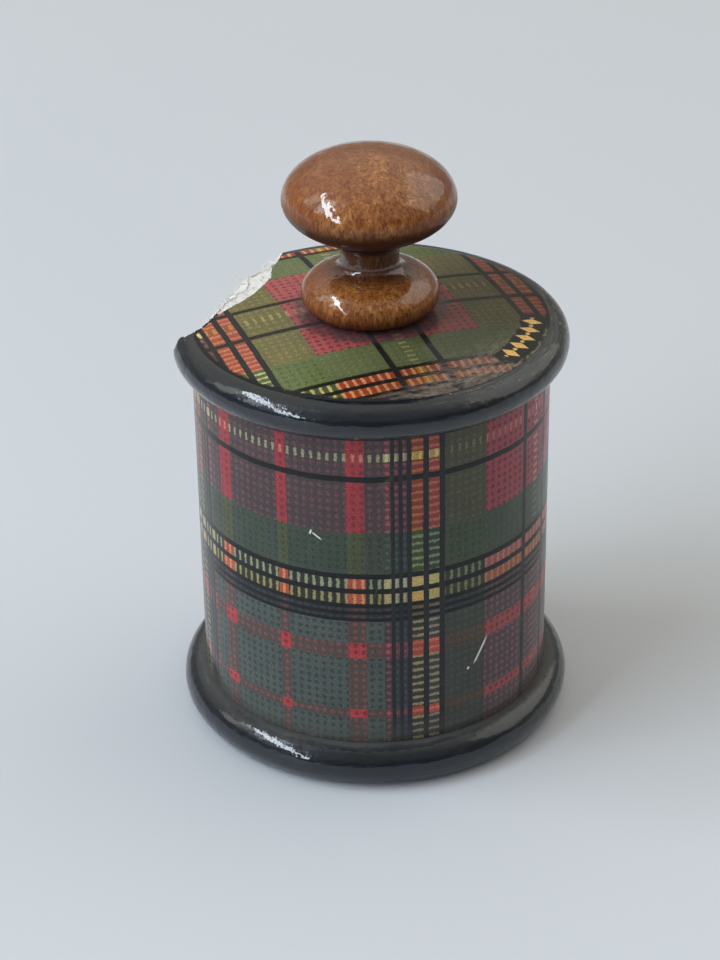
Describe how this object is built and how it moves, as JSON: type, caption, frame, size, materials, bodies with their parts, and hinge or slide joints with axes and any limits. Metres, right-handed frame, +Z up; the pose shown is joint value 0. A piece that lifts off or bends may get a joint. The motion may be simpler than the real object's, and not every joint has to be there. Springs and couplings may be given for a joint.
{
  "type": "bobbin box",
  "caption": "Turned wooden bobbin box: papered barrel between ebonised discs, knobbed lift-off lid with a chipped edge, and a reel of thread on a peg inside.",
  "frame": {"origin": "centre of the underside of the base disc, on the box's turning axis", "axes": "+Z up along the turning axis; -Y towards the viewer of the picture; the chip in the lid's edge is at -X +Y"},
  "size_m": [0.043, 0.043, 0.0645],
  "materials": {
    "ebonised_wood": "gloss black lacquer over turned sycamore, rubbed on the edges",
    "tartan_paper": "printed tartan paper under clear varnish",
    "sycamore": "plain turned sycamore, unvarnished inside",
    "lining_paper": "dark red glazed lining paper",
    "gilt": "gilt transfer under the varnish",
    "peg_wood": "turned peg, waxed",
    "knob_wood": "turned fruitwood, stained amber brown and varnished",
    "reel_wood": "turned birch, varnished",
    "thread_cotton": "wound cotton thread, slight sheen",
    "label_paper": "plain cream paper with a printed ring"
  },
  "bodies": {
    "box": {"base_disc": "ebonised_wood", "base_paper": "tartan_paper", "barrel": "sycamore", "barrel_paper": "tartan_paper", "floor_lining": "lining_paper", "spindle": "peg_wood"},
    "lid": {"lid_disc": "ebonised_wood", "lid_plug": "sycamore", "lid_paper": "tartan_paper", "knob": "knob_wood"},
    "reel": {"reel": "reel_wood", "thread": "thread_cotton", "reel_label_top": "label_paper", "reel_label_bottom": "label_paper"}
  },
  "joints": [
    {"name": "lid_lift", "type": "slide", "parent": "box", "child": "lid", "axis": [0, 0, 1], "range_m": [0, 0.04]},
    {"name": "reel_spin", "type": "hinge", "parent": "box", "child": "reel", "pos_m": [0, 0, 0.0072], "axis": [0, 0, 1], "continuous": true}
  ]
}
